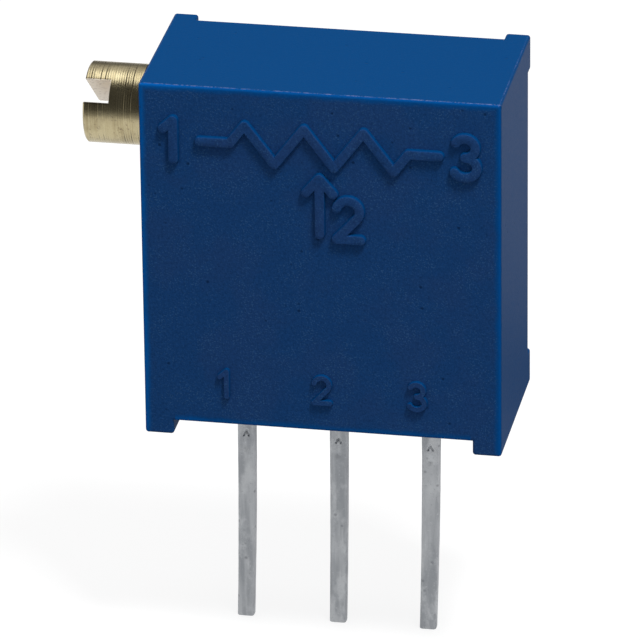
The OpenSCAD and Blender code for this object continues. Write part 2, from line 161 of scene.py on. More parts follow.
def grid_quads(rows, cols):
    """Corner numbers of a grid's quads, row by row, with its last column joined to its first."""
    row, col = np.meshgrid(np.arange(rows - 1), np.arange(cols), indexing="ij")
    after = (col + 1) % cols
    here, there = row * cols, (row + 1) * cols
    return together(here + col, here + after, there + after, there + col).reshape(-1, 4)


def new_mesh(name, points, polygons):
    """A closed mesh in millimetres. Points that meet are welded, which closes poles and seams, and its
    faces are turned outward."""
    mesh = bpy.data.meshes.new(name)
    mesh.from_pydata(np.asarray(points, float).reshape(-1, 3), [], polygons)
    work = bmesh.new()
    work.from_mesh(mesh)
    bmesh.ops.remove_doubles(work, verts=work.verts, dist=MEET)
    bmesh.ops.dissolve_degenerate(work, edges=work.edges, dist=MEET)
    bmesh.ops.recalc_face_normals(work, faces=work.faces)
    work.to_mesh(mesh)
    work.free()
    return mesh


def loft(name, rings):
    """Closed skin over rings of shape (rings, points, 3). A first or last ring that isn't one point gets a
    flat cap."""
    rings = np.asarray(rings, float)
    rows, cols = rings.shape[:2]
    polygons = grid_quads(rows, cols).tolist()
    for row in (0, rows - 1):
        if np.ptp(rings[row], axis=0).max() > MEET:
            polygons.append(list(range(row * cols, (row + 1) * cols)))
    return new_mesh(name, rings, polygons)


def rounded(corners, radii, steps=8):
    """Closed outline with round corners. An arc's centre lies on its corner's bisector, radius / sin(half
    the inner angle) away, and its points turn about that centre by equal shares of the outer angle."""
    corners = np.asarray(corners, float)
    radii = np.broadcast_to(np.asarray(radii, float), len(corners))
    back = unit(np.roll(corners, 1, 0) - corners)
    ahead = unit(np.roll(corners, -1, 0) - corners)
    half = np.arccos(np.clip((back * ahead).sum(1), -1, 1)) / 2
    centre = corners + unit(back + ahead) * (radii / np.sin(half))[:, None]
    start = corners + back * (radii / np.tan(half))[:, None] - centre
    side = np.sign(ahead[:, 0] * back[:, 1] - ahead[:, 1] * back[:, 0])
    turn = (side * (np.pi - 2 * half))[:, None] * np.linspace(0, 1, steps + 1)
    cos, sin = np.cos(turn), np.sin(turn)
    arc_u = centre[:, :1] + start[:, :1] * cos - start[:, 1:] * sin
    arc_v = centre[:, 1:] + start[:, :1] * sin + start[:, 1:] * cos
    return together(arc_u, arc_v).reshape(-1, 2)


def rectangle(u0, v0, u1, v1, radius, inset=0.0, steps=8):
    """Outline of a rectangle with round corners, drawn in by an inset that its corner radius loses too."""
    u0, v0, u1, v1 = u0 + inset, v0 + inset, u1 - inset, v1 - inset
    return rounded([(u0, v0), (u1, v0), (u1, v1), (u0, v1)], max(radius - inset, 1e-4), steps)


def circle(u, v, radius, count=96):
    """Points at equal angles round a centre."""
    turn = np.linspace(0, 2 * np.pi, count, endpoint=False)
    return together(u + radius * np.cos(turn), v + radius * np.sin(turn))


def stand(outline, axis, places):
    """Rings that stand one outline, or one for each place, across an axis. The outline's u and v run along
    the other two axes, in the order x, y, z."""
    outline = np.asarray(outline, float)
    places = np.asarray(places, float)
    rings = np.empty((len(places), outline.shape[-2], 3))
    u, v = [other for other in range(3) if other != axis]
    rings[..., u], rings[..., v] = outline[..., 0], outline[..., 1]
    rings[..., axis] = places[:, None]
    return rings


def bar(name, outline, axis, start, end):
    """Straight solid whose outline stands across an axis from start to end."""
    return loft(name, stand(outline, axis, [start, end]))


def turned(profile, centre_y, centre_z, count):
    """Rings of a turned piece: each (x, radius) of the profile is carried round an axis along X."""
    x, radius = np.asarray(profile, float).T[..., None]
    turn = np.linspace(0, 2 * np.pi, count, endpoint=False)
    return together(x, centre_y + radius * np.cos(turn), centre_z + radius * np.sin(turn))


def soft_block(name, boxes, radius):
    """Skin of a stack of boxes with round outer edges. Its points lie on the sharp skin, closer together at
    the edges. Each is carried to the point at the edge radius from the nearest of the boxes shrunk by that
    radius."""
    boxes = np.asarray(boxes, float)
    near = radius * np.append(1 - np.tan(np.linspace(0, np.pi / 4, 6)), 1.25)
    lines = []
    for axis in range(3):
        stops = np.unique(boxes[:, :, axis])
        line = np.unique(np.round(stops[:, None] + np.append(-near, near), 6))
        lines.append(line[(line >= stops[0] - 1e-6) & (line <= stops[-1] + 1e-6)])
    middles = np.meshgrid(*[(line[1:] + line[:-1]) / 2 for line in lines], indexing="ij")
    within = [
        np.all([(middle > low) & (middle < high) for middle, low, high in zip(middles, *box)], axis=0)
        for box in boxes
    ]
    filled = np.pad(np.any(within, axis=0), 1).astype(np.int8)
    counts = np.array([len(line) for line in lines])
    weights = np.array([counts[1] * counts[2], counts[2], 1])
    quads = []
    for axis in range(3):
        u, v = [other for other in range(3) if other != axis]
        kept = tuple(slice(None) if a == axis else slice(1, -1) for a in range(3))
        for sign in (1, -1):
            first = np.argwhere(np.diff(filled, axis=axis)[kept] == sign) @ weights
            quads.append(first[:, None] + np.array([0, weights[u], weights[u] + weights[v], weights[v]]))
    used, quads = np.unique(np.concatenate(quads), return_inverse=True)
    place = np.stack(np.unravel_index(used, counts), -1)
    points = together(*[line[place[:, axis]] for axis, line in enumerate(lines)])
    inner = np.clip(points[None], boxes[:, None, 0] + radius, boxes[:, None, 1] - radius)
    away = np.linalg.norm(points - inner, axis=2)
    nearest = away.argmin(0)
    centre = inner[nearest, np.arange(len(points))]
    reach = away.min(0)[:, None]
    return new_mesh(name, centre + (points - centre) * radius / reach, quads.reshape(-1, 4).tolist())


def rib(name, path, width, height):
    """Raised rib with round ends along a path of (x, z) points on the front face. Ring k keeps the distance
    d_k from the path: side points along the path's normal, and half circles round its ends. The rings rise
    out of the face over a quarter-sine shoulder and close on the path itself."""
    path = np.asarray(path, float)
    ahead = unit(np.gradient(path, axis=0))
    side = together(-ahead[:, 1], ahead[:, 0])
    turn = np.linspace(0, np.pi, 9)[1:-1, None]
    far = path[-1] * np.ones_like(turn), np.cos(turn) * side[-1] + np.sin(turn) * ahead[-1]
    near = path[0] * np.ones_like(turn), -np.cos(turn) * side[0] - np.sin(turn) * ahead[0]
    base = np.concatenate([path, far[0], path[::-1], near[0]])
    out = np.concatenate([side, far[1], -side[::-1], near[1]])
    rise = np.linspace(0, np.pi / 2, 6)
    shoulder = RIB_SHOULDER * width
    away = np.concatenate([[0, width / 2], width / 2 - shoulder * (1 - np.cos(rise)), [0]])
    lift = np.concatenate([[-RIB_SUNK, -RIB_SUNK], height * np.sin(rise), [height]])
    outline = base + away[:, None, None] * out
    return loft(name, together(outline[..., 0], FRONT_Y - lift[:, None], outline[..., 1]))


# Solid work and finished pieces


def new_object(name, data):
    """An object in the scene that shows a mesh, a lamp or a camera."""
    thing = bpy.data.objects.new(name, data)
    bpy.context.scene.collection.objects.link(thing)
    return thing


def cut_or_join(mesh, others):
    """Mesh after each (operation, other mesh) was cut from it or joined to it, one after another."""
    piece = new_object("work", mesh)
    helpers = []
    for operation, other in others:
        helper = new_object("helper", other)
        helpers.append(helper)
        step = piece.modifiers.new(operation.lower(), "BOOLEAN")
        step.operation, step.object, step.solver = operation, helper, "MANIFOLD"
    done = bpy.data.meshes.new_from_object(piece.evaluated_get(bpy.context.evaluated_depsgraph_get()))
    for thing in [piece, *helpers]:
        bpy.data.objects.remove(thing)
    if not len(done.polygons):
        raise RuntimeError(f"{mesh.name} came out empty")
    return done


def packed_mesh(node):
    """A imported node's mesh as a closed one, in millimetres: a copy with its loose triangles welded."""
    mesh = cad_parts[node].data.copy()
    mesh.transform(Matrix.Scale(1 / MM, 4))
    work = bmesh.new()
    work.from_mesh(mesh)
    bmesh.ops.remove_doubles(work, verts=work.verts, dist=PACKED_MEET)
    work.to_mesh(mesh)
    work.free()
    mesh.materials.clear()
    return mesh


def finished(name, mesh, material, body, nodes, sharp=30.0):
    """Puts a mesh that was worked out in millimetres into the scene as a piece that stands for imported
    nodes."""
    mesh.transform(Matrix.Scale(MM, 4))
    mesh.materials.clear()
    mesh.materials.append(material)
    mesh.polygons.foreach_set("use_smooth", np.ones(len(mesh.polygons), bool))
    mesh.set_sharp_from_angle(angle=np.radians(sharp))
    piece = new_object(name, mesh)
    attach(piece, body)
    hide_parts(*nodes)


# Materials


class Wire:
    """An output socket that takes part in Python arithmetic: each operator adds one Math node."""

    def __init__(self, finish, socket):
        self.finish, self.socket = finish, socket

    def math(self, operation, *values):
        return self.finish.node("Math", {"operation": operation}, dict(enumerate(values)))

    def __add__(self, other):
        return self.math("ADD", self, other)

    def __sub__(self, other):
        return self.math("SUBTRACT", self, other)

    def __rsub__(self, other):
        return self.math("SUBTRACT", other, self)

    def __mul__(self, other):
        return self.math("MULTIPLY", self, other)

    def __truediv__(self, other):
        return self.math("DIVIDE", self, other)

    def __abs__(self):
        return self.math("ABSOLUTE", self)

    def least(self, other):
        return self.math("MINIMUM", self, other)

    def above(self, edge, soft):
        """0 below the edge and 1 above it, with a smooth step of the given width between."""
        return self.finish.node(
            "MapRange",
            {"interpolation_type": "SMOOTHSTEP"},
            {"Value": self, "From Min": edge - soft / 2, "From Max": edge + soft / 2},
        )

    __radd__ = __add__
    __rmul__ = __mul__


class Nodes:
    """The nodes of one material or world."""

    def __init__(self, owner):
        owner.use_nodes = True
        self.tree = owner.node_tree
        self.tree.nodes.clear()

    def node(self, kind, settings=None, inputs=None, output=0):
        """Adds a shader node. Its settings come first, and then its sockets, which take values or wires."""
        node = self.tree.nodes.new("ShaderNode" + kind)
        for name, value in (settings or {}).items():
            setattr(node, name, value)
        for name, value in (inputs or {}).items():
            if isinstance(value, Wire):
                self.tree.links.new(value.socket, node.inputs[name])
            else:
                node.inputs[name].default_value = value
        if isinstance(output, tuple):
            return tuple(Wire(self, node.outputs[name]) for name in output)
        return Wire(self, node.outputs[output]) if node.outputs else None

    def vector(self, operation, *values, output="Vector"):
        """One Vector Math node."""
        return self.node("VectorMath", {"operation": operation}, dict(enumerate(values)), output)

    def places(self):
        """Places in the piece's own frame in millimetres: the vector, and its x, y and z."""
        metres = self.node("TexCoord", output="Object")
        mm = self.vector("MULTIPLY", metres, (1 / MM, 1 / MM, 1 / MM))
        return mm, *self.node("SeparateXYZ", {}, {0: mm}, ("X", "Y", "Z"))

    def rays(self):
        """1 for rays from the camera, and 1 for rays that leave gloss or pass through glass."""
        camera, glossy, through = self.node(
            "LightPath", output=("Is Camera Ray", "Is Glossy Ray", "Is Transmission Ray")
        )
        return camera, glossy + through


class Finish(Nodes):
    """One material that is built node by node round a Principled shader, with places in millimetres."""

    def __init__(self, name):
        self.material = bpy.data.materials.new(name)
        super().__init__(self.material)
        self.mm, self.x, self.y, self.z = self.places()

    def noise(self, per_mm, detail=2.0, rough=0.5, stretch=(1, 1, 1)):
        """Noise with so many features a millimetre, slower along an axis whose stretch is under 1."""
        where = self.mm if stretch == (1, 1, 1) else self.vector("MULTIPLY", self.mm, stretch)
        return self.node(
            "TexNoise", {}, {"Vector": where, "Scale": per_mm, "Detail": detail, "Roughness": rough}
        )

    def spots(self, per_mm, size):
        """1 inside round spots that lie one to a cell, with so many cells a millimetre."""
        far = self.node("TexVoronoi", {}, {"Vector": self.mm, "Scale": per_mm}, "Distance")
        return 1 - far.above(size, size)

    def mix(self, share, first, second):
        """Colour between two others, each of them plain or a wire."""
        pair = [colour if isinstance(colour, Wire) else (*colour[:3], 1.0) for colour in (first, second)]
        return self.node("Mix", {"data_type": "RGBA"}, {0: share, 6: pair[0], 7: pair[1]}, output=2)

    def coats(self, colour, *coats):
        """Colour under coats of others, given in turn as (share, colour)."""
        for share, coat in coats:
            colour = self.mix(share, colour, coat)
        return colour

    def relief(self, *bumps):
        """Normal from bumps on top of each other, each given as (height of 0 to 1, depth in mm,
        strength)."""
        normal = {}
        for height, depth_mm, strength in bumps:
            inputs = {"Height": height, "Distance": depth_mm * MM, "Strength": strength, **normal}
            normal = {"Normal": self.node("Bump", {}, inputs)}
        return normal["Normal"]

    def facing(self, axis):
        """The surface's own normal along one axis, in the piece's frame."""
        normal = self.node("TexCoord", output="Normal")
        return self.node("SeparateXYZ", {}, {0: normal}, output=axis)

    def shade(self, **inputs):
        """Ends the material with a Principled shader. Its sockets' names have low lines for spaces."""
        named = {name.replace("_", " "): value for name, value in inputs.items()}
        shader = self.node("BsdfPrincipled", {}, named)
        self.node("OutputMaterial", {}, {"Surface": shader})
        return self.material


# Linear colours of the wear in the finishes
DARK_SPECK = (0.001, 0.012, 0.045)
BLUE_PIT = (0.001, 0.015, 0.06)
BRASS_PIT = (0.15, 0.10, 0.07)
# The crest colour is painted highlight, and the groove colour is grime with painted shade.
BRASS_CREST_HIGHLIGHT = (0.74, 0.68, 0.47)
BRASS_GROOVE_GRIME_AND_SHADE = (0.20, 0.15, 0.085)
# Colour of the painted shade round the slot's mouth.
BRASS_BRIM_SHADE = (0.16, 0.12, 0.07)
SAWN_FLECK = (0.42, 0.33, 0.27)
TIN_CLOUD = (0.66, 0.68, 0.70)
TIN_GRIT = (0.24, 0.25, 0.27)
TIN_GLINT = (0.74, 0.76, 0.78)
TIN_PIT = (0.16, 0.17, 0.19)
PINHOLE = (0.002, 0.006, 0.018)


def moulded_blue(look):
    """Thermoset plastic: a matt front with sparse pale and dark specks, smoother sides, smooth bands that
    fade in towards the front's edges, whose richer blue is painted sheen of the rounded edges and is
    brightest on the left with painted light, greyer tops of the raised marks, and a fine pale line where the
    top meets the front and the sides, part chafing and part painted highlight."""
    finish = Finish("moulded_blue")
    band, reach = look.band_width / MM, look.edge_radius / MM
    wander = (finish.noise(1.6) - 0.5) * 0.12
    on_foot = abs(finish.x).above(HALF_W - FOOT_W, 0.1)
    nearness = (HALF_W - abs(finish.x)).least(TOP_Z - finish.z).least(finish.z - FOOT_H + on_foot * 5.0)
    inner = (nearness + wander).above(band * 0.55, band)
    ahead = (finish.facing(1) * -1.0).above(0.5, 0.5)
    front = ahead * inner
    # Edge band: its smooth plastic is real, and its brighter blue is painted sheen of the rounded edges.
    sheen_band = ahead * (FRONT_Y + band - finish.y).above(0, 0.12) * (1 - inner)
    raised = (FRONT_Y - finish.y).above(0.06, 0.04)
    cloud = finish.noise(0.7, 3.0)
    patch = finish.noise(1.3).above(0.5, 0.3)
    grain = finish.noise(12.0, 3.0, 0.7)
    speck = finish.noise(22.0, 2.0, 0.6)
    pit = finish.spots(1.8, 0.07)
    colour = finish.coats(
        look.side_colour,
        (front, look.front_colour),
        (front * (cloud.above(0.52, 0.2) * 0.5 + raised * 0.5), look.grey_colour),
        (sheen_band, look.edge_sheen_colour),
    )
    # The last term is painted light from the left: it brightens the edge band on the left side.
    shade = 1 + (grain - 0.5) * (0.15 + front * 0.7) + (finish.x * -1.0).above(3.5, 2.0) * sheen_band * 0.4
    shade = finish.node("CombineXYZ", {}, {0: shade, 1: shade, 2: shade})
    colour = finish.coats(
        finish.vector("MULTIPLY", colour, shade),
        (speck.above(0.6, 0.1) * (0.04 + front * (0.08 + patch * 0.42)), look.pale_colour),
        ((1 - speck.above(0.36, 0.06)) * front * (1 - patch) * 0.3, DARK_SPECK),
        (pit * (0.15 + front * 0.45), BLUE_PIT),
    )
    up = (finish.z - (TOP_Z - reach)) / reach
    out_front = (FRONT_Y + reach - finish.y) / reach
    out_side = (abs(finish.x) - (HALF_W - reach)) / reach
    # A pale broken line along the top's edges, partly chafing and partly painted highlight.
    rubbed_and_highlit = finish.noise(1.7).above(0.5, 0.3)
    chafe_and_highlight = finish.noise(14.0, 3.0, 0.75).above(0.5, 0.16) * (0.35 + rubbed_and_highlit * 0.65)
    for out, much in ((out_front, 0.6), (out_side, 0.35)):
        turn = up - out
        crest = turn.above(0.3, 0.2) * (1 - turn.above(0.8, 0.2)) * out.above(0.05, 0.1)
        colour = finish.mix(crest * chafe_and_highlight * much, colour, look.wear_and_highlight_colour)
    relief = finish.relief(
        (grain, 0.012, 0.35), (speck * front, 0.010, 0.6),
        (1 - pit, 0.02, 0.5), (finish.noise(1.2, 1.0), 0.01, 0.35),
    )
    return finish.shade(
        Base_Color=colour, Roughness=0.46 + front * 0.12 + (grain - 0.5) * 0.2, Normal=relief,
        IOR=1.5, Specular_IOR_Level=0.03,
    )


def turned_brass(look):
    """Dulled brass with fine turning rings whose crests get painted highlight and whose grooves hold grime
    and painted shade, tarnish in blotches and small dark pits. The slot has rougher walls where it was sawn,
    painted pale partly for the metal and partly for light bounced between them, and a line of painted shade
    round its mouth."""
    finish = Finish("turned_brass")
    blotch = finish.noise(1.6, 4.0, 0.62)
    fleck = finish.noise(9.0, 3.0, 0.6)
    ring = finish.noise(26.0, 2.0, 0.5, (1.0, 0.03, 0.03))
    cos, sin = np.cos(look.slot_lean), np.sin(look.slot_lean)
    across = finish.vector("DOT_PRODUCT", finish.mm, (0, cos, sin), output="Value")
    across = abs(across - (SCREW_Y * cos + SCREW_Z * sin))
    half = look.slot_width / MM / 2
    outer = (HEAD_X0 + look.slot_depth / MM + 0.01 - finish.x).above(0, 0.01)
    sawn = (1 - across.above(half + 0.012, 0.01)) * outer
    # Mask of the painted shade round the slot's mouth.
    brim_shade = (1 - across.above(half + 0.05, 0.03)) * outer * (1 - sawn)
    colour = finish.coats(
        look.colour,
        (blotch.above(0.52, 0.3), look.tarnish),
        ((1 - fleck.above(0.36, 0.1)) * 0.55, BRASS_PIT),
        # Pale crests of the turning rings are painted highlight, and their dark grooves are grime with
        # painted shade.
        (ring.above(0.5, 0.5) * 0.2, BRASS_CREST_HIGHLIGHT),
        ((1 - ring.above(0.42, 0.14)) * 0.12, BRASS_GROOVE_GRIME_AND_SHADE),
        (brim_shade * 0.6, BRASS_BRIM_SHADE),
        # The slot walls' pale colour is partly sawn metal and partly painted light bounced between the walls.
        (sawn, look.sawn_and_bounce_light_colour),
        (sawn * (1 - fleck.above(0.4, 0.12)) * 0.35, SAWN_FLECK),
    )
    relief = finish.relief((ring, 0.003, 0.35), (fleck, 0.005, 0.5))
    rough = 0.2 + blotch * 0.05 + (1 - fleck) * 0.06 + sawn * 0.25
    return finish.shade(Base_Color=colour, Metallic=1 - sawn * 0.25, Normal=relief, Roughness=rough)


def dipped_tin(look):
    """Hot-dipped tin: cool grey with soft streaks down the pin, cloudy patches, gritty spots and small
    pits."""
    finish = Finish("dipped_tin")
    streak = finish.noise(4.0, 3.0, 0.55, (1.0, 1.0, 0.1))
    cloud = finish.noise(2.2, 4.0, 0.65, (1.0, 1.0, 0.6))
    grit = finish.noise(13.0, 3.0, 0.65)
    colour = finish.coats(
        look.shade,
        (streak.above(0.5, 0.3), look.colour),
        (cloud.above(0.56, 0.2) * 0.6, TIN_CLOUD),
        ((1 - grit.above(0.36, 0.1)) * 0.35, TIN_GRIT),
        (grit.above(0.64, 0.1) * 0.35, TIN_GLINT),
        (finish.spots(3.0, 0.12) * 0.5, TIN_PIT),
    )
    relief = finish.relief((streak, 0.02, 0.5), (cloud, 0.02, 0.5), (grit, 0.006, 0.6))
    rough = 0.34 + streak * 0.14 + grit * 0.12
    return finish.shade(Base_Color=colour, Metallic=0.85, Roughness=rough, Normal=relief)


def cast_epoxy(look):
    """Potting: dark blue resin, glossy with soft swirls, fine filler and the odd pinhole."""
    finish = Finish("cast_epoxy")
    swirl = finish.noise(0.8, 3.0, 0.55)
    filler = finish.noise(20.0, 2.0, 0.6)
    pinhole = finish.spots(1.3, 0.06)
    colour = finish.coats(look.colour, (swirl.above(0.5, 0.5), look.swirl), (pinhole * 0.7, PINHOLE))
    relief = finish.relief((1 - pinhole, 0.02, 0.6), (filler, 0.004, 0.4))
    rough = 0.26 + filler * 0.1 + pinhole * 0.3
    return finish.shade(Base_Color=colour, Roughness=rough, Normal=relief, Specular_IOR_Level=0.22)


def inner_finish(name, colour, second, metallic, rough, per_mm, depth_mm, stretch=(1, 1, 1)):
    """Finish of a piece inside: two colours in a fine cloud, with a grain of so many features a
    millimetre."""
    finish = Finish(name)
    cloud = finish.noise(per_mm * 0.25, 3.0, 0.6)
    grain = finish.noise(per_mm, 2.0, 0.6, stretch)
    colour = finish.coats(colour, (cloud.above(0.5, 0.4), second), (grain.above(0.62, 0.2) * 0.3, second))
    rough = rough + (grain - 0.5) * 0.25
    relief = finish.relief((grain, depth_mm, 1.0))
    return finish.shade(Base_Color=colour, Metallic=metallic, Roughness=rough, Normal=relief)


# What inner_finish takes after its name for each finish of the pieces inside, and which finish a node wears
INNER_FINISHES = {
    "wetted_solder": ((0.52, 0.53, 0.55), (0.36, 0.37, 0.39), 0.9, 0.3, 6.0, 0.006),
    "fired_silver": ((0.56, 0.55, 0.52), (0.42, 0.41, 0.38), 0.7, 0.45, 14.0, 0.003),
    "fired_cermet": ((0.02, 0.02, 0.022), (0.045, 0.043, 0.04), 0.0, 0.42, 16.0, 0.003),
    "alumina": ((0.78, 0.77, 0.72), (0.68, 0.67, 0.62), 0.0, 0.55, 12.0, 0.004),
    "white_nylon": ((0.74, 0.72, 0.64), (0.66, 0.64, 0.55), 0.0, 0.4, 7.0, 0.004),
    "seal_rubber": ((0.018, 0.018, 0.02), (0.035, 0.035, 0.038), 0.0, 0.6, 18.0, 0.006),
    "clip_steel": ((0.5, 0.5, 0.52), (0.4, 0.4, 0.42), 1.0, 0.32, 20.0, 0.003, (0.1, 1, 1)),
    "spring_bronze": ((0.62, 0.42, 0.2), (0.5, 0.34, 0.17), 1.0, 0.3, 18.0, 0.003, (1, 1, 0.1)),
    "brush_alloy": ((0.66, 0.63, 0.56), (0.55, 0.52, 0.46), 1.0, 0.28, 20.0, 0.002, (0.1, 1, 1)),
}
INNER_WEAR = {
    "solder_joint_1": "wetted_solder", "solder_joint_2": "wetted_solder", "solder_joint_3": "wetted_solder",
    "collector_ring": "fired_silver", "end_conductor_1": "fired_silver", "end_conductor_3": "fired_silver",
    "resistive_track": "fired_cermet", "ceramic_substrate": "alumina", "worm_wheel": "white_nylon",
    "shaft_seal": "seal_rubber", "screw_retainer": "clip_steel", "wiper_spring": "spring_bronze",
    "track_brush": "brush_alloy", "collector_brush": "brush_alloy",
}


# Settings


def colour_setting(name, description, default):
    """A linear colour in the panel."""
    return FloatVectorProperty(
        name=name, description=description, subtype="COLOR", default=default, min=0, max=1,
    )


def length_setting(name, description, default_mm):
    """A length in the panel, kept in metres."""
    return FloatProperty(
        name=name, description=description, unit="LENGTH", precision=6, default=default_mm * MM, min=0,
    )


def lengths_setting(name, description, defaults_mm):
    """A length for each terminal in the panel, kept in metres."""
    return FloatVectorProperty(
        name=name, description=description, unit="LENGTH", precision=6, size=len(PIN_NODES),
        default=tuple(length * MM for length in defaults_mm),
    )


def angle_setting(name, description, degrees):
    """An angle in the panel, kept in radians."""
    return FloatProperty(name=name, description=description, subtype="ANGLE", default=np.radians(degrees))


def plain_setting(name, description, default, subtype="NONE"):
    """A number above zero in the panel."""
    return FloatProperty(name=name, description=description, subtype=subtype, default=default, min=0)


class MouldingSettings(bpy.types.PropertyGroup):
    edge_radius: length_setting("Edge radius", "Radius of the moulding's outer edges", 0.08)
    band_width: length_setting("Band width", "Width of the smooth bands along the front's edges", 0.22)
    mark_width: length_setting("Mark width", "Width of the large raised lines on the front", 0.29)
    mark_height: length_setting("Mark height", "How far the large lines stand out", 0.12)
    digit_height: length_setting("Digit height", "Height of the small digits over the terminals", 0.72)
    front_colour: colour_setting("Front", "Colour of the matt front", (0.012, 0.067, 0.228))
    side_colour: colour_setting("Sides", "Colour of the top, sides and back", (0.0006, 0.064, 0.228))
    grey_colour: colour_setting("Greyer front", "Colour of the marks and of patches", (0.020, 0.066, 0.212))
    # The edge bands' brighter blue is painted sheen of the rounded edges.
    edge_sheen_colour: colour_setting("Edges", "Colour of the bands along the front's edges", (0.001, 0.094, 0.37))
    pale_colour: colour_setting("Speckle", "Colour of the pale specks in the front", (0.05, 0.15, 0.34))
    # The pale line on the top's edges is partly chafing and partly painted highlight.
    wear_and_highlight_colour: colour_setting("Worn edge", "Colour of the chafed edges of the top", (0.24, 0.29, 0.56))


class ScrewSettings(bpy.types.PropertyGroup):
    chamfer: length_setting("Chamfer", "Chamfer round the head", 0.04)
    mark_pitch: length_setting("Mark pitch", "Distance between neighbouring turning marks", 0.062)
    mark_depth: length_setting("Mark depth", "Depth of the turning marks", 0.0052)
    slot_width: length_setting("Slot width", "Width of the screwdriver slot", 0.62)
    slot_depth: length_setting("Slot depth", "Depth of the screwdriver slot", 0.68)
    slot_lean: angle_setting("Slot lean", "Angle of the slot from upright, towards the front at its top", 51)
    round_steps: IntProperty(name="Steps", description="Points round the head", default=144, min=24, max=256)
    colour: colour_setting("Brass", "Colour of the clean brass", (0.56, 0.48, 0.285))
    tarnish: colour_setting("Tarnish", "Colour of the dulled patches", (0.42, 0.35, 0.20))
    # The slot walls' pale colour is partly sawn metal and partly painted light bounced between the walls.
    sawn_and_bounce_light_colour: colour_setting("Slot", "Colour of the slot's sawn walls", (1.0, 0.92, 0.8))


class TerminalSettings(bpy.types.PropertyGroup):
    corner: length_setting("Corner", "Radius of a terminal's long edges", 0.08)
    dimple: length_setting("Dimple", "Depth of the coined marks under the housing", 0.03)
    waver: length_setting("Waver", "How far the tinned edges wander", 0.005)
    lean: lengths_setting("Lean", "How far each tip leans to the left", (0.1, 0.075, 0.105))
    stray: lengths_setting("Stray", "How far to the right each one leaves the potting", (0.04, 0.0, -0.05))
    taper: length_setting("Taper", "How much narrower the tips are than the roots", 0.045)
    colour: colour_setting("Tin", "Colour of the bright tin", (0.55, 0.569, 0.592))
    shade: colour_setting("Shade", "Colour of the dull streaks", (0.36, 0.378, 0.403))


class PottingSettings(bpy.types.PropertyGroup):
    climb: length_setting("Climb", "How far the resin climbs the walls", 0.07)
    creep: length_setting("Creep", "How far from the walls the climb fades", 0.13)
    colour: colour_setting("Resin", "Colour of the resin", (0.007, 0.038, 0.125))
    swirl: colour_setting("Swirl", "Colour of the swirls in the resin", (0.012, 0.055, 0.165))


class StageSettings(bpy.types.PropertyGroup):
    azimuth: angle_setting("Azimuth", "Camera's angle round the part", 10.765)
    elevation: angle_setting("Elevation", "Camera's angle above the horizon", 24.743)
    roll: angle_setting("Roll", "Camera's turn about its own axis", -0.645)
    distance: length_setting("Distance", "Distance of the camera from its target", 203.7)
    focal_pixels: plain_setting("Focal length", "In pixels of a frame 640 pixels wide", 7691.0, "PIXEL")
    overhead: plain_setting("Overhead", "Brightness of the large lamp overhead", 1.36)
    key: plain_setting("Key", "Brightness of the lamp at the front on the right", 49.6)
    fill: plain_setting("Fill", "Brightness of the surroundings", 0.36)
    floor_paint: plain_setting("Floor paint", "How much light the floor returns", 0.28)
    floor_glow: plain_setting("Floor glow", "How much white is added where it is seen", 0.83)


# Pieces


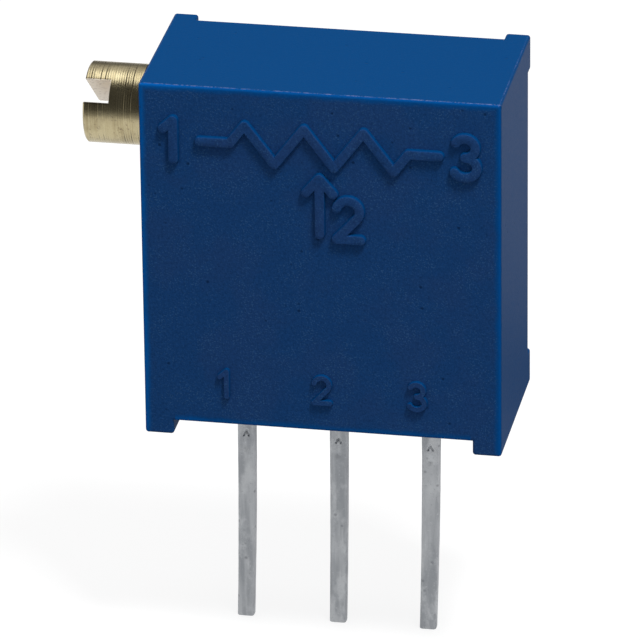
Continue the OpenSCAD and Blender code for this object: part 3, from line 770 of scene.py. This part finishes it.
def moulding_mesh(look):
    """The blue housing: a stack of soft boxes with its pocket, bores and channels cut out, its post and
    stop block put in and its raised marks put on."""
    inner_foot = HALF_W - FOOT_W
    inner_pad = HALF_W - PAD_W
    boxes = [[(-HALF_W, FRONT_Y, FOOT_H), (HALF_W, RIM_Y, TOP_Z)]]
    for low, high in ((-HALF_W, -inner_foot), (inner_foot, HALF_W)):
        boxes.append([(low, FRONT_Y, 0), (high, RIM_Y, TOP_Z)])
    for low, high in ((-HALF_W, -inner_pad), (inner_pad, HALF_W)):
        boxes.append([(low, FRONT_Y, 0), (high, BACK_Y, PAD_H)])
        boxes.append([(low, FRONT_Y, TOP_Z - PAD_H), (high, BACK_Y, TOP_Z)])
    block = soft_block("block", boxes, look.edge_radius / MM)
    pocket = [
        rectangle(-POCKET_X, POCKET_Z0, POCKET_X, POCKET_Z1, POCKET_R, -flare)
        for flare in [POCKET_FLARE[0], *POCKET_FLARE, 0.0]
    ]
    depth = [BACK_Y + PAST, *(RIM_Y - POCKET_FLARE[::-1]), SEAT_Y]
    front_wall = FRONT_Y + WALL_FRONT
    on_axis = (SCREW_Y, SCREW_Z)
    clip = rectangle(
        CLIP_LOW[0] - CAST_GAP, CLIP_LOW[1] - CAST_GAP, CLIP_HIGH[0] + CAST_GAP, SEAT_Y + OVERLAP, SHARP_R,
    )
    cuts = [
        loft("pocket", stand(pocket, 1, depth)),
        bar("chamber", circle(0, WHEEL_Z, WHEEL_TIP_R + WHEEL_GAP, 128), 1, front_wall, SEAT_Y + OVERLAP),
        bar("seal_bore", circle(*on_axis, SEAL_BORE_R), 0, -HALF_W - PAST, SEAL_X1),
        bar("shaft_bore", circle(*on_axis, SHAFT_R + RUN_GAP), 0, -HALF_W - PAST, WORM_X + RUN_GAP),
        bar("tail_bore", circle(*on_axis, TAIL_R + RUN_GAP), 0, 0, POCKET_X),
        bar("clip_slot", clip, 2, CLIP_LOW[2] - CAST_GAP, CLIP_HIGH[2] + CAST_GAP),
    ]
    for x in PIN_X:
        left, right, out = x - CHANNEL_R, x + CHANNEL_R, BACK_Y + PAST
        corners = [(left, -CHANNEL_R), (right, -CHANNEL_R), (right, out), (left, out)]
        outline = rounded(corners, [CHANNEL_R * 0.999, CHANNEL_R * 0.999, SHARP_R, SHARP_R], 16)
        cuts.append(bar("channel", outline, 2, FOOT_H - PAST, POCKET_Z0 + OVERLAP))
    under_pad = TOP_Z - PAD_H
    wedge = rounded([
        (BACK_Y - PAD_CHAMFER, under_pad), (BACK_Y + PAST, under_pad - 0.01),
        (BACK_Y + PAST, under_pad + PAD_CHAMFER + PAST),
    ], 0.002, 2)
    for low in (-HALF_W - PAST, inner_pad - PAST):
        cuts.append(bar("pad_chamfer", wedge, 0, low, low + PAD_W + 2 * PAST))
    joins = [bar("post", circle(0, WHEEL_Z, POST_R), 1, front_wall - OVERLAP, SPRING_BACK_Y)]
    turn = np.linspace(-BLOCK_HALF, BLOCK_HALF, 17)
    arc = together(np.sin(turn), -np.cos(turn))
    sector = np.concatenate([arc * BLOCK_R1, arc[::-1] * BLOCK_R0]) + (0, WHEEL_Z)
    joins.append(bar("stop_block", sector, 1, front_wall - OVERLAP, BLOCK_Y1))
    joins += front_marks(look)
    return cut_or_join(block, [("DIFFERENCE", cut) for cut in cuts] + [("UNION", join) for join in joins])


def arc_path(u, v, radius_u, radius_v, start, end, steps=20):
    """Points along part of an ellipse, with angles in degrees from +u towards +v."""
    turn = np.radians(np.linspace(start, end, steps))
    return together(u + radius_u * np.cos(turn), v + radius_v * np.sin(turn))


def digit_paths(digit, x, z, height):
    """Paths of a plain digit 1, 2 or 3 whose foot is centred at (x, z): arcs and straight lines in its own
    box."""
    if digit == 1:
        paths = [[(0, 0), (0, 1)], [(0, 1), (-0.24, 0.78)]]
    elif digit == 2:
        bowl = arc_path(0, 0.72, 0.28, 0.28, 165, -38)
        paths = [bowl, [bowl[-1], (-0.28, 0)], [(-0.28, 0), (0.3, 0)]]
    else:
        paths = [arc_path(-0.02, 0.755, 0.25, 0.245, 150, -90), arc_path(-0.02, 0.255, 0.29, 0.255, 90, -150)]
    return [np.asarray(path) * height + (x, z) for path in paths]


def front_marks(look):
    """The raised marks of the front: the plain symbol of a variable resistor, with its three ends numbered,
    and the same numbers again over the terminals."""
    width, height = look.mark_width / MM, look.mark_height / MM
    line_z, swing, half_zig, lead = 8.52, 0.52, 2.35, 3.15
    arrow_z, arrow_gap, barb_x, barb_z = 6.1, 0.32, 0.36, 0.42
    tall, number_x, wiper_x, wiper_z, small_z = 1.1, 3.85, 0.75, 6.0, 1.25
    kinks = np.linspace(-half_zig, half_zig, 13)[::2]
    peaks = (kinks[1:] + kinks[:-1]) / 2
    zig = [(-lead, line_z), (-half_zig, line_z)]
    zig += [(x, line_z + swing * (-1) ** count) for count, x in enumerate(peaks)]
    zig += [(half_zig, line_z), (lead, line_z)]
    tip_z = line_z - swing - arrow_gap
    arrow_ends = ((0, arrow_z), (-barb_x, tip_z - barb_z), (barb_x, tip_z - barb_z))
    arrow = [(end, (0, tip_z)) for end in arrow_ends]
    large = [*zip(zig[:-1], zig[1:]), *arrow]
    foot_z = line_z - tall / 2
    for digit, x, z in ((1, -number_x, foot_z), (3, number_x, foot_z), (2, wiper_x, wiper_z)):
        large += digit_paths(digit, x, z, tall)
    ribs = [rib("mark", path, width, height) for path in large]
    for digit, x in enumerate(PIN_X, 1):
        for path in digit_paths(digit, x, small_z, look.digit_height / MM):
            ribs.append(rib("digit", path, width * 0.58, height * 0.8))
    return ribs


def screw_mesh(look):
    """The turned screw: a profile carried round its axis, with V-shaped turning marks of uneven depth
    between flat lands, a left-hand worm thread joined on and the slot cut across its head."""
    chamfer, pitch, depth = look.chamfer / MM, look.mark_pitch / MM, look.mark_depth / MM
    starts = np.arange(HEAD_X0 + chamfer, HEAD_X1 - pitch, pitch)[:, None]
    uneven = np.random.default_rng(7).uniform(0.35, 1.0, (len(starts), 1))
    along = (starts + pitch * np.array([0, 0.62, 0.72, 0.81, 0.9])).ravel()
    dip = (depth * uneven * np.array([0, 0, 0.55, 1, 0.55])).ravel()
    head = [(HEAD_X0, 0), (HEAD_X0, HEAD_R * 0.5), (HEAD_X0, HEAD_R - chamfer)]
    head += list(zip(along, HEAD_R - dip)) + [(HEAD_X1, HEAD_R - depth)]
    shaft = [
        (HEAD_X1, NECK_R), (SEAL_X1, NECK_R), (SEAL_X1, SHAFT_R), (GROOVE_X0, SHAFT_R),
        (GROOVE_X0, GROOVE_R), (GROOVE_X1, GROOVE_R), (GROOVE_X1, SHAFT_R), (-WORM_X, SHAFT_R),
        (-WORM_X, WORM_ROOT_R), (WORM_X, WORM_ROOT_R), (WORM_X, TAIL_R),
        (TAIL_X1 - TAIL_CHAMFER, TAIL_R), (TAIL_X1, TAIL_R - TAIL_CHAMFER), (TAIL_X1, 0),
    ]
    body = loft("body", turned(head + shaft, SCREW_Y, SCREW_Z, look.round_steps))
    turns = int(2 * WORM_X / TOOTH_PITCH) - 1
    turn = np.linspace(-turns / 2, turns / 2, 40 * turns + 1)[:, None]
    radius = np.array([WORM_ROOT_R - OVERLAP, SHAFT_R, SHAFT_R, WORM_ROOT_R - OVERLAP])
    width = (TOOTH_PITCH - THREAD_PLAY) / 2 + 2 * (WORM_PITCH_R - radius) * FLANK
    angle = 2 * np.pi * turn + np.pi / 2
    x = -TOOTH_PITCH * turn + np.array([-0.5, -0.5, 0.5, 0.5]) * width
    thread = together(x, SCREW_Y + radius * np.cos(angle), SCREW_Z + radius * np.sin(angle))
    half, floor = look.slot_width / MM / 2, HEAD_X0 + look.slot_depth / MM
    mouth, crisp, root = 0.015, 0.002, 0.03
    wall = [(HEAD_X0 - PAST, half + mouth), (HEAD_X0, half + mouth), (HEAD_X0 + mouth, half), (floor, half)]
    section = rounded([(x, -off) for x, off in wall] + wall[::-1], [crisp] * 3 + [root] * 2 + [crisp] * 3, 4)
    reach = HEAD_R + PAST
    cos, sin = np.cos(look.slot_lean), np.sin(look.slot_lean)
    across, length = np.array([cos, sin]), np.array([-sin, cos])
    ends = np.array([-reach, reach])[:, None, None] * length + section[:, 1:] * across
    slot = together(section[:, 0], SCREW_Y + ends[..., 0], SCREW_Z + ends[..., 1])
    return cut_or_join(body, [("UNION", loft("thread", thread)), ("DIFFERENCE", loft("slot", slot))])


def from_line(x, z, start, end):
    """Distance of points from the straight line between two points."""
    start, run = np.array(start), np.subtract(end, start)
    share = np.clip(((x - start[0]) * run[0] + (z - start[1]) * run[1]) / (run @ run), 0, 1)
    return np.hypot(x - start[0] - share * run[0], z - start[1] - share * run[1])


def terminal_mesh(look, x0, number):
    """A flat pin: a rectangle with round corners carried down the pin. Its edges wander by a sum of sines
    and draw in by the taper, evenly down the pin. Its front sinks by bell curves round an inverted V and a
    round dimple, and its tip's edge is a quarter circle. It leans by the square of the way down, and strays
    evenly near the potting."""
    half_w, half_t = (PIN_HIGH[0] - PIN_LOW[0]) / 2, (PIN_HIGH[1] - PIN_LOW[1]) / 2
    corner, waver, dimple = look.corner / MM, look.waver / MM, look.dimple / MM
    tip, top = PIN_LOW[2], PIN_HIGH[2]
    nose, mark_low, mark_high = 0.035, -1.7, -0.5
    bend = np.linspace(0, np.pi / 2, 5)
    heights = np.unique(np.round(np.concatenate([
        tip + nose * (1 - np.sin(bend[::-1])), np.arange(tip + 0.12, mark_low, 0.09),
        np.arange(mark_low, mark_high, 0.018), np.linspace(mark_high + 0.05, top, 12),
    ]), 5))
    draw_in = nose * (1 - np.sqrt(np.clip(1 - (1 - np.clip((heights - tip) / nose, 0, 1)) ** 2, 0, 1)))
    corner_steps = 5
    outline = rectangle(-half_w, -half_t, half_w, half_t, corner, 0.0, corner_steps)
    face = together(np.linspace(-half_w + corner, half_w - corner, 26)[1:-1], -half_t)
    outline = np.concatenate([outline[:corner_steps + 1], face, outline[corner_steps + 1:]])
    wander = sum(np.sin(heights * f + number * 1.7 * f) * a for f, a in ((1.3, 0.5), (3.1, 0.3), (7.7, 0.2)))
    down = np.clip(heights / tip, 0, 1)
    narrow = look.taper / MM / 2 * down
    u = outline[:, 0] * ((half_w - draw_in - waver * np.abs(wander) - narrow) / half_w)[:, None]
    v = outline[:, 1] * ((half_t - draw_in) / half_t)[:, None]
    z = heights[:, None]
    vee_z, leg_x, leg_z, line_w = -0.80 - 0.03 * number, 0.065, 0.15, 0.022
    dent_x, dent_drop, dent_r = -0.01, 0.48, 0.09
    legs = [from_line(u, z, (0, vee_z), (side * leg_x, vee_z - leg_z)) for side in (-1, 1)]
    dent = np.hypot(u - dent_x, (z - vee_z + dent_drop) * 0.8)
    sink = dimple * (np.exp(-((np.minimum(*legs) / line_w) ** 2)) + 0.6 * np.exp(-((dent / dent_r) ** 2)))
    on_front = np.clip((-v / half_t - 0.75) / 0.25, 0, 1)
    sway = -look.lean[number - 1] / MM * down ** 2
    sway += look.stray[number - 1] / MM * np.clip((0.4 - heights) / 0.8, 0, 1)
    return loft("terminal", together(x0 + u + sway[:, None], v + sink * on_front, z))


def potting_mesh(look):
    """The potting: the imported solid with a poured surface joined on. Rings of a shrinking rectangle rise by
    climb * exp(-distance / creep) at the walls, and sines of x and z make the middle a little uneven."""
    climb, creep = look.climb / MM, look.creep / MM
    uneven, under_h, parts = 0.012, 0.3, 10
    wall_x, wall_z0, wall_z1 = POCKET_X - CAST_GAP, POCKET_Z0 + CAST_GAP, POCKET_Z1 - CAST_GAP
    rings = []
    for inset in (*POUR_STEPS, wall_x - 2e-4):
        ring = rectangle(-wall_x, wall_z0, wall_x, wall_z1, POCKET_R - CAST_GAP, inset, 6)
        ends = np.roll(ring, -1, 0)
        share = np.linspace(0, 1, parts, endpoint=False)[:, None]
        ring = (ring[:, None] + (ends - ring)[:, None] * share).reshape(-1, 2)
        swell = np.sin(ring[:, 0] * 0.9 + 0.4) * np.cos(ring[:, 1] * 0.7) * uneven * min(inset, 1)
        y = POTTING_Y - uneven + climb * np.exp(-inset / creep) + swell
        rings.append(together(ring[:, 0], y, ring[:, 1]))
    under = rings[0].copy()
    under[:, 1] = POTTING_Y - under_h
    skin = loft("poured", [under, *rings])
    return cut_or_join(packed_mesh("epoxy_fill"), [("UNION", skin)])


# Operators


class TRIMMER_OT_moulding(bpy.types.Operator):
    """Builds the blue moulding"""

    bl_idname = "trimmer.moulding"
    bl_label = "Moulding"

    def execute(self, context):
        look = context.scene.trimmer_moulding
        mesh, material = moulding_mesh(look), moulded_blue(look)
        finished("blue_moulding", mesh, material, "case", ["housing"])
        return {"FINISHED"}


class TRIMMER_OT_screw(bpy.types.Operator):
    """Builds the slotted brass screw"""

    bl_idname = "trimmer.screw"
    bl_label = "Screw"

    def execute(self, context):
        look = context.scene.trimmer_screw
        mesh, material = screw_mesh(look), turned_brass(look)
        finished("slotted_screw", mesh, material, "screw", ["adjustment_screw"], 40)
        return {"FINISHED"}


class TRIMMER_OT_terminals(bpy.types.Operator):
    """Builds the three flat terminals"""

    bl_idname = "trimmer.terminals"
    bl_label = "Terminals"

    def execute(self, context):
        look = context.scene.trimmer_terminals
        tin = dipped_tin(look)
        for number, (node, x) in enumerate(zip(PIN_NODES, PIN_X), 1):
            finished(f"tinned_{node}", terminal_mesh(look, x, number), tin, "case", [node])
        return {"FINISHED"}


class TRIMMER_OT_potting(bpy.types.Operator):
    """Builds the potting in the back"""

    bl_idname = "trimmer.potting"
    bl_label = "Potting"

    def execute(self, context):
        look = context.scene.trimmer_potting
        finished("cast_potting", potting_mesh(look), cast_epoxy(look), "case", ["epoxy_fill"])
        return {"FINISHED"}


class TRIMMER_OT_inner_pieces(bpy.types.Operator):
    """Gives the pieces inside their finishes"""

    bl_idname = "trimmer.inner_pieces"
    bl_label = "Inner pieces"

    def execute(self, context):
        finishes = {name: inner_finish(name, *values) for name, values in INNER_FINISHES.items()}
        for node, name in INNER_WEAR.items():
            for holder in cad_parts[node].material_slots:
                holder.material = finishes[name]
        return {"FINISHED"}


# Studio. A zone of the room that gloss sees is its direction, the cosine and softness of its edge, and what
# it adds to the room's brightness.
LAMP_AIM = (0, 0, 4)
CAMERA_AIM = (-0.489, -0.0175, 2.492)
ROOM, ROOM_LEAST = 0.4, 0.03
ROOM_ZONES = (
    ((-0.15, 0.5, 0.85), 0.87, 0.22, 0.5),
    ((0, -0.82, 0.57), 0.66, 0.3, -0.345),
    ((0, 0.96, 0.28), 0.85, 0.3, -0.25),
    ((0.5, 0.3, 0.81), 0.89, 0.12, -0.7),
    ((-0.74, 0.2, 0.64), 0.89, 0.12, -0.6),
)


def add_lamp(name, place_mm, width_mm, height_mm, brightness):
    """A soft rectangular lamp that looks at the part. Its power is brightness * pi * its area, so
    brightness is how bright it looks."""
    data = bpy.data.lights.new(name, "AREA")
    data.shape, data.size, data.size_y = "RECTANGLE", width_mm * MM, height_mm * MM
    data.energy = brightness * np.pi * data.size * data.size_y
    lamp = new_object(name, data)
    place, aim = Vector(place_mm) * MM, Vector(LAMP_AIM) * MM
    turn = (aim - place).to_track_quat("-Z", "Y").to_matrix().to_4x4()
    lamp.matrix_world = Matrix.Translation(place) @ turn
    return lamp


def add_camera(look):
    """The camera that the photograph's corners ask for: it looks at its target from an azimuth and an
    elevation, and its frame is turned by the roll."""
    angles = [look.azimuth, look.elevation, look.roll]
    cos, sin = np.cos(angles), np.sin(angles)
    back = Vector((sin[0] * cos[1], -cos[0] * cos[1], sin[1]))
    right = Vector((0, 0, 1)).cross(back).normalized()
    up = back.cross(right)
    side = right * cos[2] + up * sin[2]
    top = up * cos[2] - right * sin[2]
    data = bpy.data.cameras.new("photo_camera")
    data.sensor_width = 36.0
    data.lens = look.focal_pixels * data.sensor_width / 640
    data.clip_start, data.clip_end = 0.01, 5.0
    camera = new_object("photo_camera", data)
    turn = Matrix((side, top, back)).transposed().to_4x4()
    camera.matrix_world = Matrix.Translation(Vector(CAMERA_AIM) * MM + back * look.distance) @ turn
    bpy.context.scene.camera = camera


def studio_world(look):
    """White where the camera sees it, dimmer where it only lights the part. Gloss sees a grey room that is
    bright high at the back, and dark round the camera, low at the back and on both sides of the bright
    part."""
    world = bpy.data.worlds.new("studio")
    bpy.context.scene.world = world
    nodes = Nodes(world)
    camera, gloss = nodes.rays()
    ahead = nodes.node("TexCoord", output="Generated")
    room = ROOM
    for aim, edge, soft, more in ROOM_ZONES:
        near = nodes.vector("DOT_PRODUCT", ahead, aim, output="Value")
        room = room + near.above(edge, soft) * more
    room = room.math("MAXIMUM", room, ROOM_LEAST)
    strength = camera + (1 - camera) * (gloss * room + (1 - gloss) * look.fill)
    glow = nodes.node("Background", {}, {"Color": (1, 1, 1, 1), "Strength": strength})
    nodes.node("OutputWorld", {}, {"Surface": glow})


def studio_floor(look):
    """Pale floor under the pins' tips. It is white where it is seen and lit, keeps the part's shadow, and its
    underside lets the camera look through. Gloss sees it with a painted shadow of the part behind it on the
    right, a darker painted strip inside that, and darkness far in front."""
    material = bpy.data.materials.new("pale_floor")
    nodes = Nodes(material)
    camera, gloss = nodes.rays()
    pale = look.floor_paint
    paint = nodes.node("BsdfDiffuse", {}, {"Color": (pale, pale, pale, 1)})
    right, back = nodes.places()[1:3]
    # Painted shadow of the part, seen only by gloss: a darker patch behind it on the right and a darker strip
    # inside that.
    patch = right.above(-2.0, 4.0) * back.above(9.0, 10.0) * (1 - back.above(28.0, 34.0))
    painted_shadow_strip = right.above(3.0, 4.0) * back.above(13.0, 4.0) * (1 - back.above(19.0, 4.0))
    lit = (1 - patch * 0.6) * (1 - painted_shadow_strip) * back.above(-42.0, 26.0)
    glow = nodes.node("Emission", {}, {"Strength": (camera + gloss * lit * 0.8) * look.floor_glow})
    both = nodes.node("AddShader", {}, {0: paint, 1: glow})
    behind = nodes.node("NewGeometry", output="Backfacing")
    clear = nodes.node("BsdfTransparent")
    surface = nodes.node("MixShader", {}, {0: behind, 1: both, 2: clear})
    nodes.node("OutputMaterial", {}, {"Surface": surface})
    reach, height = 600.0, PIN_LOW[2] - 0.005
    corners = [(x * reach, y * reach, height) for x, y in ((-1, -1), (1, -1), (1, 1), (-1, 1))]
    mesh = bpy.data.meshes.new("floor")
    mesh.from_pydata(np.array(corners) * MM, [], [(0, 1, 2, 3)])
    mesh.materials.append(material)
    floor = new_object("floor", mesh)


class TRIMMER_OT_stage(bpy.types.Operator):
    """Sets up the floor, the lamps, the surroundings and the camera"""

    bl_idname = "trimmer.stage"
    bl_label = "Stage"

    def execute(self, context):
        look = context.scene.trimmer_stage
        context.scene.view_settings.view_transform = "Standard"
        studio_world(look)
        studio_floor(look)
        add_lamp("overhead", (-26, 28, 150), 68, 116, look.overhead)
        add_lamp("key", (48, -48, 149), 30, 30, look.key).visible_glossy = False
        add_camera(look)
        return {"FINISHED"}


class TRIMMER_PT_panel(bpy.types.Panel):
    """Lists the steps that build the trimmer, with their settings"""

    bl_label = "Trimmer potentiometer"
    bl_idname = "TRIMMER_PT_panel"
    bl_space_type = "VIEW_3D"
    bl_region_type = "UI"
    bl_category = "Trimmer"

    def draw(self, context):
        for step, group in STEPS:
            box = self.layout.box()
            box.operator(step.bl_idname)
            if group is None:
                continue
            settings = getattr(context.scene, group_name(group))
            for name in group.__annotations__:
                box.prop(settings, name)


STEPS = (
    (TRIMMER_OT_moulding, MouldingSettings),
    (TRIMMER_OT_screw, ScrewSettings),
    (TRIMMER_OT_terminals, TerminalSettings),
    (TRIMMER_OT_potting, PottingSettings),
    (TRIMMER_OT_inner_pieces, None),
    (TRIMMER_OT_stage, StageSettings),
)


def group_name(group):
    """Name under which a group of settings hangs on the scene."""
    return "trimmer_" + group.__name__.removesuffix("Settings").lower().replace("terminal", "terminals")


def register():
    for step, group in STEPS:
        if group is not None:
            bpy.utils.register_class(group)
            setattr(bpy.types.Scene, group_name(group), PointerProperty(type=group))
        bpy.utils.register_class(step)
    bpy.utils.register_class(TRIMMER_PT_panel)


def unregister():
    bpy.utils.unregister_class(TRIMMER_PT_panel)
    for step, group in reversed(STEPS):
        bpy.utils.unregister_class(step)
        if group is not None:
            delattr(bpy.types.Scene, group_name(group))
            bpy.utils.unregister_class(group)


def main():
    """Builds every piece and the stage."""
    register()
    for step, _ in STEPS:
        category, name = step.bl_idname.split(".")
        getattr(getattr(bpy.ops, category), name)()


if __name__ == "__main__":
    main()
